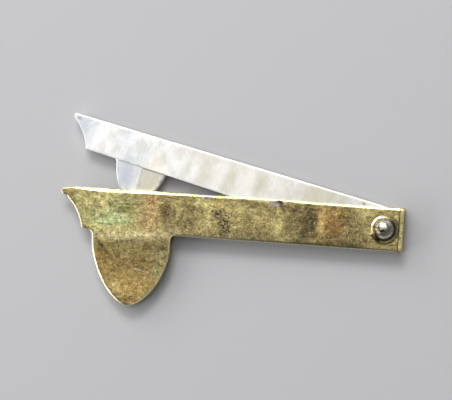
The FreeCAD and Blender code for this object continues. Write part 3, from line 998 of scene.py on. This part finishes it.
LINES = (
    ("dark olive", 0.85, (-15.5, 4.1), (3.2, 0.12), -7),
    ("dark olive", 0.7, (0.0, 4.56), (9.0, 0.11)),
    ("dark olive", 0.9, (20.5, 4.55), (3.4, 0.17)),
    ("dark olive", 0.5, (31.0, 4.6), (5.0, 0.1)),
    ("cream", 0.6, (10.0, 5.1), (4.5, 0.6)),
    ("grey", 0.8, (11.5, 4.5), (1.1, 0.7), -20),
    ("soot", 0.95, (13.3, 4.6), (0.6, 0.95), 15),
    ("soot", 0.7, (14.1, 4.2), (0.7, 0.3), -30),
    ("dark olive", 0.85, (43.7, 0.0), (0.17, 5.3), 1),
    ("umber", 0.6, (20.0, -5.15), (20.0, 0.12)),
    ("umber", 0.8, (35.2, -3.2), (0.75, 0.13), -62),
    ("umber", 0.8, (35.7, -3.25), (0.75, 0.13), 62),
)
BACK_STAINS = (
    ("pale", 0.7, (-30.0, 0.5), (7.0, 4.0), 10),
    ("pale green", 0.7, (-33.0, -2.5), (3.0, 2.0)),
    ("copper", 0.6, (-12.0, -1.0), (4.0, 3.0)),
    ("grey olive", 0.8, (3.0, 1.0), (6.0, 3.0), -8),
    ("straw", 0.6, (10.0, -3.0), (5.0, 1.6), 4),
    ("orange brown", 0.6, (17.0, -1.5), (3.0, 2.5)),
    ("straw", 0.6, (27.0, 1.0), (4.0, 3.0), 5),
    ("umber", 0.6, (36.0, -2.0), (2.5, 2.5)),
    ("golden", 0.7, (-25.0, -15.0), (5.0, 5.0)),
    ("pale", 0.5, (-20.0, -10.0), (3.0, 4.0), 15),
    ("dark olive", 0.6, (-29.0, -9.0), (3.0, 1.2), 25),
    ("brown", 0.6, (-24.0, -21.5), (4.0, 1.0)),
)
WALL_TOP_STAINS = (
    ("straw", 0.7, (44.1, -1.0), (0.6, 4.5)),
)
# The end wall's outer face mirrors the shaded floor beside it, so its colour holds painted light: a bright
# gold painted sheen over most of it, and umber painted shade along its foot.
WALL_SHEEN = (
    ("wiped gold", 0.95, (44.75, 0.0), (0.5, 8.5)),
)
WALL_FOOT_SHADE = (
    ("umber", 0.9, (44.7, 0.0), (0.5, 7.5)),
)
WALL_LEVEL = 3.0
FOOT_SHADE_LEVEL = -0.75
PIT_CENTRE = (-1.6, -1.2)
PIT_HALF = (3.7, 2.3)
PIT_TURN = -40
STAIN_SOFT = 0.65
CLEAN_BRASS = (0.86, 0.79, 0.53)
PIT_BROWN = (0.06, 0.045, 0.025)

# %% Colour of old brass
def fray_of(tree, place):
    """How much a stain's rim wanders in or out at a place."""
    return spread(tree, speckle(tree, place, 1.8, 5, 0.65), 0, 1, -1.1, 1.1, False)


def brass_colour(tree, place, layers):
    """Brass with broad clouds, a cover's own layers of tarnish and of painted light, and small shifts
    towards copper and green.
    """
    fray = fray_of(tree, place)
    broad = speckle(tree, place, 5.0, 3, 0.5, (1, 0.6, 1), 3.0)
    clouds = spread(tree, broad, 0.38, 0.62)
    colour = blend(tree, clouds, (0.25, 0.195, 0.078), (0.41, 0.33, 0.135))
    for patches, level, soft in layers:
        colour = overlaid(tree, place, colour, patches, BRASS_COLOURS, fray, soft, level)
    hue = speckle(tree, place, 0.9, 3, 0.6, (1, 0.7, 1), 11.0)
    colour = blend(tree, spread(tree, hue, 0.55, 0.75, 0, 0.4), colour, (0.42, 0.27, 0.13))
    return blend(tree, spread(tree, hue, 0.45, 0.25, 0, 0.4), colour, (0.33, 0.34, 0.13))


def wiped(tree, place):
    """Short slanting scratches from wiping, in places, and a few long ones along the bar."""
    mask = spread(tree, speckle(tree, place, 4.0, shift=31.0), 0.45, 0.6)
    short_lines = spread(tree, speckle(tree, place, 0.16, 1, 0.5, (1, 0.035, 1), 7.0, 38.0), 0.66, 0.76)
    long_lines = spread(tree, speckle(tree, place, 0.14, 1, 0.5, (0.02, 1, 1), 17.0, -9.0), 0.68, 0.78)
    return calc(tree, "MAXIMUM", times(tree, short_lines, mask), times(tree, long_lines, 0.7))

# %% Brass of the covers
def brass_finish(name, layers, lines):
    """Tarnish with the painted light in the cover's layers, grain, pits, painted glints, scratches, dirt and
    painted shade round the ring, and bright worn edges for one cover.
    """
    brass, tree, shader, place = start_finish(name)
    colour = brass_colour(tree, place, layers)
    grain = speckle(tree, place, 0.4, 3, 0.62, (0.9, 1, 1))
    mottle = speckle(tree, place, 1.0, 4, 0.65, (0.85, 1, 1), 9.0)
    fine, coarse = (0.34, 0.66, 0.6, 1.48, False), (0.34, 0.66, 0.58, 1.5, False)
    uneven = times(tree, spread(tree, grain, *fine), spread(tree, mottle, *coarse))
    colour = blend(tree, 1.0, colour, uneven, "MULTIPLY")
    ragged = spread(tree, speckle(tree, place, 0.8, shift=5.0), 0, 1, -0.6, 0.6, False)
    pit_fray = times(tree, fray_of(tree, place), 1.3)
    pitted = patch(tree, place, PIT_CENTRE, PIT_HALF, PIT_TURN, pit_fray, 0.9)
    pit_noise = plus(tree, speckle(tree, place, 0.6, 3, 0.6, (1, 0.8, 1), 27.0), times(tree, pitted, 0.2))
    pits = spread(tree, pit_noise, 0.67, 0.73)
    colour = blend(tree, times(tree, pits, 0.9), colour, PIT_BROWN)
    # Painted highlights: small cream glints scattered over the brass, a few more in the pitted patch.
    glint_noise = plus(tree, speckle(tree, place, 0.5, 2, 0.5, (1, 0.8, 1), 51.0), times(tree, pitted, 0.06))
    glints = spread(tree, glint_noise, 0.62, 0.72)
    colour = blend(tree, times(tree, glints, 0.6), colour, BRASS_COLOURS["cream"])
    colour = overlaid(tree, place, colour, lines, BRASS_COLOURS, ragged, 0.4)
    scratches = wiped(tree, place)
    colour = blend(tree, times(tree, scratches, 0.6), colour, BRASS_COLOURS["cream"])
    # Dirt and painted shade: the cover turns umber just outside the ring, a little all round as dirt and
    # most on the lower right side as painted shade from the rivet head.
    near_ring = spread(tree, from_rivet(tree, place), 4.1, 3.65)
    shaded_side = spread(tree, lower_right(tree, place), -2.5, 1.0, 0.2, 0.95)
    colour = blend(tree, times(tree, near_ring, shaded_side), colour, BRASS_COLOURS["umber"])
    wear = put(tree, "Attribute", attribute_name="wear").outputs["Fac"]
    worn = plus(tree, wear, times(tree, grain, 0.3))
    clean = times(tree, spread(tree, worn, 0.4, 0.85), 0.9)
    colour = blend(tree, clean, colour, CLEAN_BRASS)
    dull = plus(tree, spread(tree, grain, 0.3, 0.7, 0.42, 0.3, False), times(tree, pits, 0.2))
    dull = calc(tree, "SUBTRACT", dull, times(tree, clean, 0.08))
    relief = plus(tree, times(tree, grain, 0.6), speckle(tree, place, 1.6, shift=41.0))
    relief = calc(tree, "SUBTRACT", relief, times(tree, pits, 0.5))
    relief = calc(tree, "SUBTRACT", relief, times(tree, scratches, 0.3))
    metal(tree, shader, colour, dull, relief, 0.035)
    print(name, len(tree.nodes), "nodes")
    return brass


front_layers = ((BAR_STAINS, FRONT_LEVEL, STAIN_SOFT), (LOBE_STAINS_AND_PAINTED_LIGHT, FRONT_LEVEL, STAIN_SOFT))
# The rear cover's last two layers are the end wall's painted sheen and painted shade.
rear_layers = ((BACK_STAINS, BACK_LEVEL, STAIN_SOFT), (WALL_TOP_STAINS, FRONT_LEVEL, STAIN_SOFT),
               (WALL_SHEEN, WALL_LEVEL, 0.25), (WALL_FOOT_SHADE, FOOT_SHADE_LEVEL, 0.2))
front_cover.data.materials.append(brass_finish("front_brass", front_layers, LINES))
rear_cover.data.materials.append(brass_finish("rear_brass", rear_layers, ()))

# %% [markdown]
# ## Ground steel
# The blade was ground bright across its width, and later stained lightly where fingers and damp
# reached it. Its patches are soft and pale, so they ride in the blade's own directions: the
# texture's axes are turned back by the angle at which the blade lies open. On the spade some are
# painted light: its left facet is painted blue and its right facet warm beige, as painted
# reflections of two sides of the room, and a painted highlight runs down the ridge between them.

# %% Steel of the blade
STEEL = {
    "white": (0.97, 0.97, 0.96),
    "milk": (0.92, 0.885, 0.81),
    "warm": (0.83, 0.79, 0.70),
    "tip blue": (0.54, 0.585, 0.65),
    "blue": (0.59, 0.63, 0.69),
    "beige": (0.66, 0.62, 0.47),
    "straw": (0.63, 0.60, 0.47),
    "spade": (0.98, 0.92, 0.71),
    "brown": (0.25, 0.12, 0.045),
    "dark": (0.12, 0.11, 0.09),
}
BLADE_PATCHES = (
    ("warm", 0.6, (3.0, 1.0), (19.0, 9.0)),
    ("tip blue", 0.95, (-42.4, 2.3), (3.0, 5.5), -8),
    ("white", 0.9, (-37.0, 2.0), (1.3, 5.0), -8),
    ("blue", 0.35, (-30.5, 2.6), (2.6, 3.0), -20),
    ("blue", 0.4, (-24.5, 0.0), (2.0, 3.0), 15),
    ("beige", 0.3, (-19.5, 2.0), (2.2, 2.4), -30),
    ("beige", 0.45, (-12.8, 1.0), (1.1, 5.5), -10),
    ("beige", 0.5, (-8.2, 1.0), (1.6, 5.5), -8),
    ("milk", 0.8, (-4.6, 1.0), (1.2, 5.0), -6),
    ("beige", 0.9, (-1.6, 0.6), (1.3, 4.2), -10),
    ("milk", 0.75, (2.8, 2.0), (1.6, 4.0), -10),
    ("beige", 0.9, (6.8, 1.6), (1.8, 3.2), -8),
    ("milk", 0.75, (11.9, 3.0), (1.6, 4.0), -8),
    ("straw", 0.95, (26.0, 3.0), (11.0, 6.0)),
    ("beige", 0.5, (20.0, 3.0), (1.5, 4.0), -10),
    ("brown", 0.55, (-43.9, 4.6), (0.5, 0.4)),
    ("dark", 0.8, (33.1, 4.6), (0.4, 0.3)),
    # Painted reflections: the spade's left facet is painted blue and its right facet warm beige, as each
    # mirrors a different side of the room.
    ("blue", 0.9, (-28.4, -7.0), (3.4, 5.5)),
    ("spade", 0.9, (-21.3, -7.0), (3.4, 5.5)),
    # A painted highlight along the spade's ridge.
    ("white", 1.0, (-24.7, -8.0), (0.2, 6.0)),
)
steel, tree, shader, place = start_finish("ground_steel")
blade_frame = {"Vector": place, "Location": (PIVOT_X, 0, 0), "Rotation": (0, 0, math.radians(-REST_OPENING))}
closed = put(tree, "Mapping", blade_frame, vector_type="TEXTURE")
place = put(tree, "VectorMath", {0: closed.outputs[0], 1: (PIVOT_X, 0, 0)}, operation="ADD").outputs[0]
fray = spread(tree, speckle(tree, place, 2.2, 4, 0.6, (1, 0.7, 1)), 0, 1, -0.9, 0.9, False)
bands = speckle(tree, place, 2.6, 4, 0.6, (1, 0.75, 1), 2.0, -12.0)
colour = blend(tree, spread(tree, bands, 0.35, 0.6), (0.77, 0.755, 0.70), STEEL["white"])
colour = overlaid(tree, place, colour, BLADE_PATCHES, STEEL, fray, 0.9, MID)
grind = speckle(tree, place, 0.22, 2, 0.6, (1, 0.12, 1), 4.0, -8.0)
colour = blend(tree, 1.0, colour, spread(tree, grind, 0.3, 0.7, 0.93, 1.05, False), "MULTIPLY")
specks = spread(tree, speckle(tree, place, 0.45, shift=12.0), 0.7, 0.76)
colour = blend(tree, times(tree, specks, 0.5), colour, STEEL["brown"])
wear = put(tree, "Attribute", attribute_name="wear").outputs["Fac"]
colour = blend(tree, times(tree, wear, 0.8), colour, STEEL["white"])
relief = plus(tree, times(tree, grind, 0.35), bands)
metal(tree, shader, colour, spread(tree, grind, 0.3, 0.7, 0.3, 0.42), relief, 0.012)
blade.data.materials.clear()
blade.data.materials.append(steel)

# %% [markdown]
# ## Rivet and ring
# The dome is rubbed smooth by thumbs, so it mirrors the room sharply, and dirt stays in its low
# spots. Its colour also carries painted light: a painted highlight above the middle and a paler
# painted reflection below it, painted shade on its left, a dark painted reflection of the camera
# near the middle, and a rim that is dark with dirt all round and with painted shade on the lower
# right. The ring is paler brass with a painted highlight crescent at its upper left, dark with dirt
# and painted shade where it meets the dome, and dark with dirt and the burr's painted shadow at its
# lower left; the cover is dark where it meets the ring.

# %% Steel of the rivet
DOME_MARKS = (
    # Painted reflections: a bright highlight above the dome's middle, where it mirrors the lamps, and a
    # paler band below it.
    ("polished", 0.9, (40.35, 1.25), (1.3, 0.85)),
    ("polished", 0.6, (40.7, -1.75), (1.3, 0.4), 14),
    # Painted shade on the dome's left, which dims the left lamp's reflection there.
    ("grime", 0.9, (38.3, -0.9), (0.8, 0.8)),
    ("grime", 0.6, (38.6, 0.4), (0.5, 1.2)),
    # A dark painted reflection of the camera near the middle, a thin dark streak on the left, and dirt with
    # the burr's painted shadow at the lower left rim.
    ("dirt", 0.9, (39.7, -0.45), (0.6, 0.3)),
    ("dirt", 0.8, (38.75, 0.45), (0.14, 0.75), -8),
    ("dirt", 0.9, (38.1, -1.9), (1.1, 0.6), -45),
)
DOME_COLOURS = {"polished": (0.93, 0.91, 0.80), "grime": (0.12, 0.10, 0.07), "dirt": (0.025, 0.02, 0.015)}
dome_steel, tree, shader, place = start_finish("dome_steel")
spots = speckle(tree, place, 0.9, 4, 0.6)
colour = blend(tree, spread(tree, spots, 0.4, 0.62), (0.25, 0.215, 0.13), (0.72, 0.68, 0.52))
dome_fray = spread(tree, speckle(tree, place, 0.5), 0, 1, -0.5, 0.5, False)
colour = overlaid(tree, place, colour, DOME_MARKS, DOME_COLOURS, dome_fray, 0.5, 6.5)
shaded_side = spread(tree, lower_right(tree, place), -1.6, 1.2, 0.1, 0.95)
# The rim darkens: dirt all round, and painted shade strongest on the lower right side.
rim_dirt_and_shade = spread(tree, plus(tree, from_rivet(tree, place), times(tree, spots, 0.8)), 2.6, 2.95)
colour = blend(tree, times(tree, rim_dirt_and_shade, shaded_side), colour, (0.05, 0.042, 0.028))
metal(tree, shader, colour, spread(tree, spots, 0.35, 0.65, 0.28, 0.16), spots, 0.04)
rivet.data.materials.append(dome_steel)

# %% Brass of the ring
RING_MARKS = (
    # A painted highlight: the pale crescent on the ring's upper left, which faces the lamps.
    ("bright", 0.95, (38.0, 2.4), (1.2, 2.1), -42),
    ("rust", 0.9, (38.2, 2.25), (0.45, 0.28), 40),
    # Dirt, with the burr's painted shadow, at the ring's lower left.
    ("dirt", 0.95, (38.0, -2.7), (1.5, 0.8), -42),
)
RING_COLOURS = {"bright": (0.86, 0.83, 0.74), "rust": (0.16, 0.06, 0.035), "dirt": (0.015, 0.012, 0.01)}
ring_brass, tree, shader, place = start_finish("ring_brass")
spots = speckle(tree, place, 0.6, 4, 0.6)
colour = blend(tree, spread(tree, spots, 0.4, 0.6), (0.42, 0.34, 0.14), (0.80, 0.69, 0.38))
colour = overlaid(tree, place, colour, RING_MARKS, RING_COLOURS, None, 0.5, 5.0)
# The groove next to the dome darkens: dirt all round, and painted shade strongest on the lower right side.
groove = spread(tree, plus(tree, from_rivet(tree, place), times(tree, spots, 0.2)), 3.15, 3.0)
shaded_side = spread(tree, lower_right(tree, place), -1.8, 0.6, 0.15, 0.95)
colour = blend(tree, times(tree, groove, shaded_side), colour, RING_COLOURS["dirt"])
metal(tree, shader, colour, spread(tree, spots, 0.35, 0.65, 0.34, 0.2), spots, 0.03)
ring.data.materials.append(ring_brass)

# %% [markdown]
# ## Floor and light
# A pale, plain sheet lies under the fleam. One large soft light hangs above it; the flat faces
# mirror its lower edge, so that the slightly folded lobe falls into shade. A smaller, stronger
# light stands further back: it draws the bright line along the top edges and the soft shadow
# below the bar. A weak panel on the left lights the lobe's worn edge. The room is dim overhead
# and bright near the floor, so that rounded edges all have something light to mirror.

# %% Floor, world and lamps
floor_mesh = bpy.data.meshes.new("floor")
floor_half = 4.0
floor_z = -0.00003
corners = [(floor_half * x, floor_half * y, floor_z) for x, y in ((-1, -1), (1, -1), (1, 1), (-1, 1))]
floor_mesh.from_pydata(corners, [], [(0, 1, 2, 3)])
floor = bpy.data.objects.new("floor", floor_mesh)
bpy.context.scene.collection.objects.link(floor)
floor_paint, tree, shader, place = start_finish("pale_floor", 0.0)
shader.inputs["Base Color"].default_value = (0.55, 0.55, 0.565, 1)
shader.inputs["Roughness"].default_value = 0.8
floor.data.materials.append(floor_paint)

world = bpy.data.worlds.new("room")
world.use_nodes = True
tree = world.node_tree
direction = put(tree, "TexCoord").outputs["Generated"]
height = put(tree, "SeparateXYZ", {0: direction}).outputs["Z"]
toward_window = put(tree, "VectorMath", {0: direction, 1: (-0.8, 0.6, 0)}, operation="DOT_PRODUCT")
window_side = spread(tree, toward_window.outputs["Value"], -0.7, 0.7)
horizon = blend(tree, window_side, (0.40, 0.39, 0.37), (0.85, 0.86, 0.86))
room = blend(tree, spread(tree, height, 0.0, 0.5), horizon, (0.13, 0.135, 0.15))
tree.links.new(room, tree.nodes["Background"].inputs["Color"])
bpy.context.scene.world = world


def lamp(name, direction, distance, size, radiance, colour):
    """A soft panel that faces the fleam. Its brightness is given as seen in a mirror."""
    data = bpy.data.lights.new(name, "AREA")
    data.shape = "RECTANGLE"
    data.size, data.size_y = size
    data.energy = radiance * math.pi * size[0] * size[1]
    data.color = colour
    made = bpy.data.objects.new(name, data)
    away = Vector(direction).normalized()
    facing = away.to_track_quat("Z", "Y").to_matrix().to_4x4()
    made.matrix_world = Matrix.Translation(away * distance) @ facing
    bpy.context.scene.collection.objects.link(made)
    return made


def from_above(toward_y, toward_x=0.0):
    """A direction leaning from straight up towards +Y and +X, in degrees."""
    return (math.tan(math.radians(toward_x)), math.tan(math.radians(toward_y)), 1.0)


def around(compass, lean):
    """A direction by its angle round the fleam from +X, and its lean from straight up."""
    turn, lean = math.radians(compass), math.radians(lean)
    return (math.sin(lean) * math.cos(turn), math.sin(lean) * math.sin(turn), math.cos(lean))


lamp("overhead", from_above(24, -10), 1.2, (1.5, 1.25), 1.22, (1, 1, 1))
lamp("key", from_above(44, -8), 1.4, (0.5, 0.4), 11.0, (1, 0.99, 0.96))
lamp("upper left", around(142, 65), 1.3, (1.2, 0.55), 2.9, (1, 0.98, 0.95))
lamp("left", around(202, 66), 1.2, (0.85, 0.5), 3.2, (1, 0.98, 0.94))
bpy.context.scene.view_settings.view_transform = "Standard"
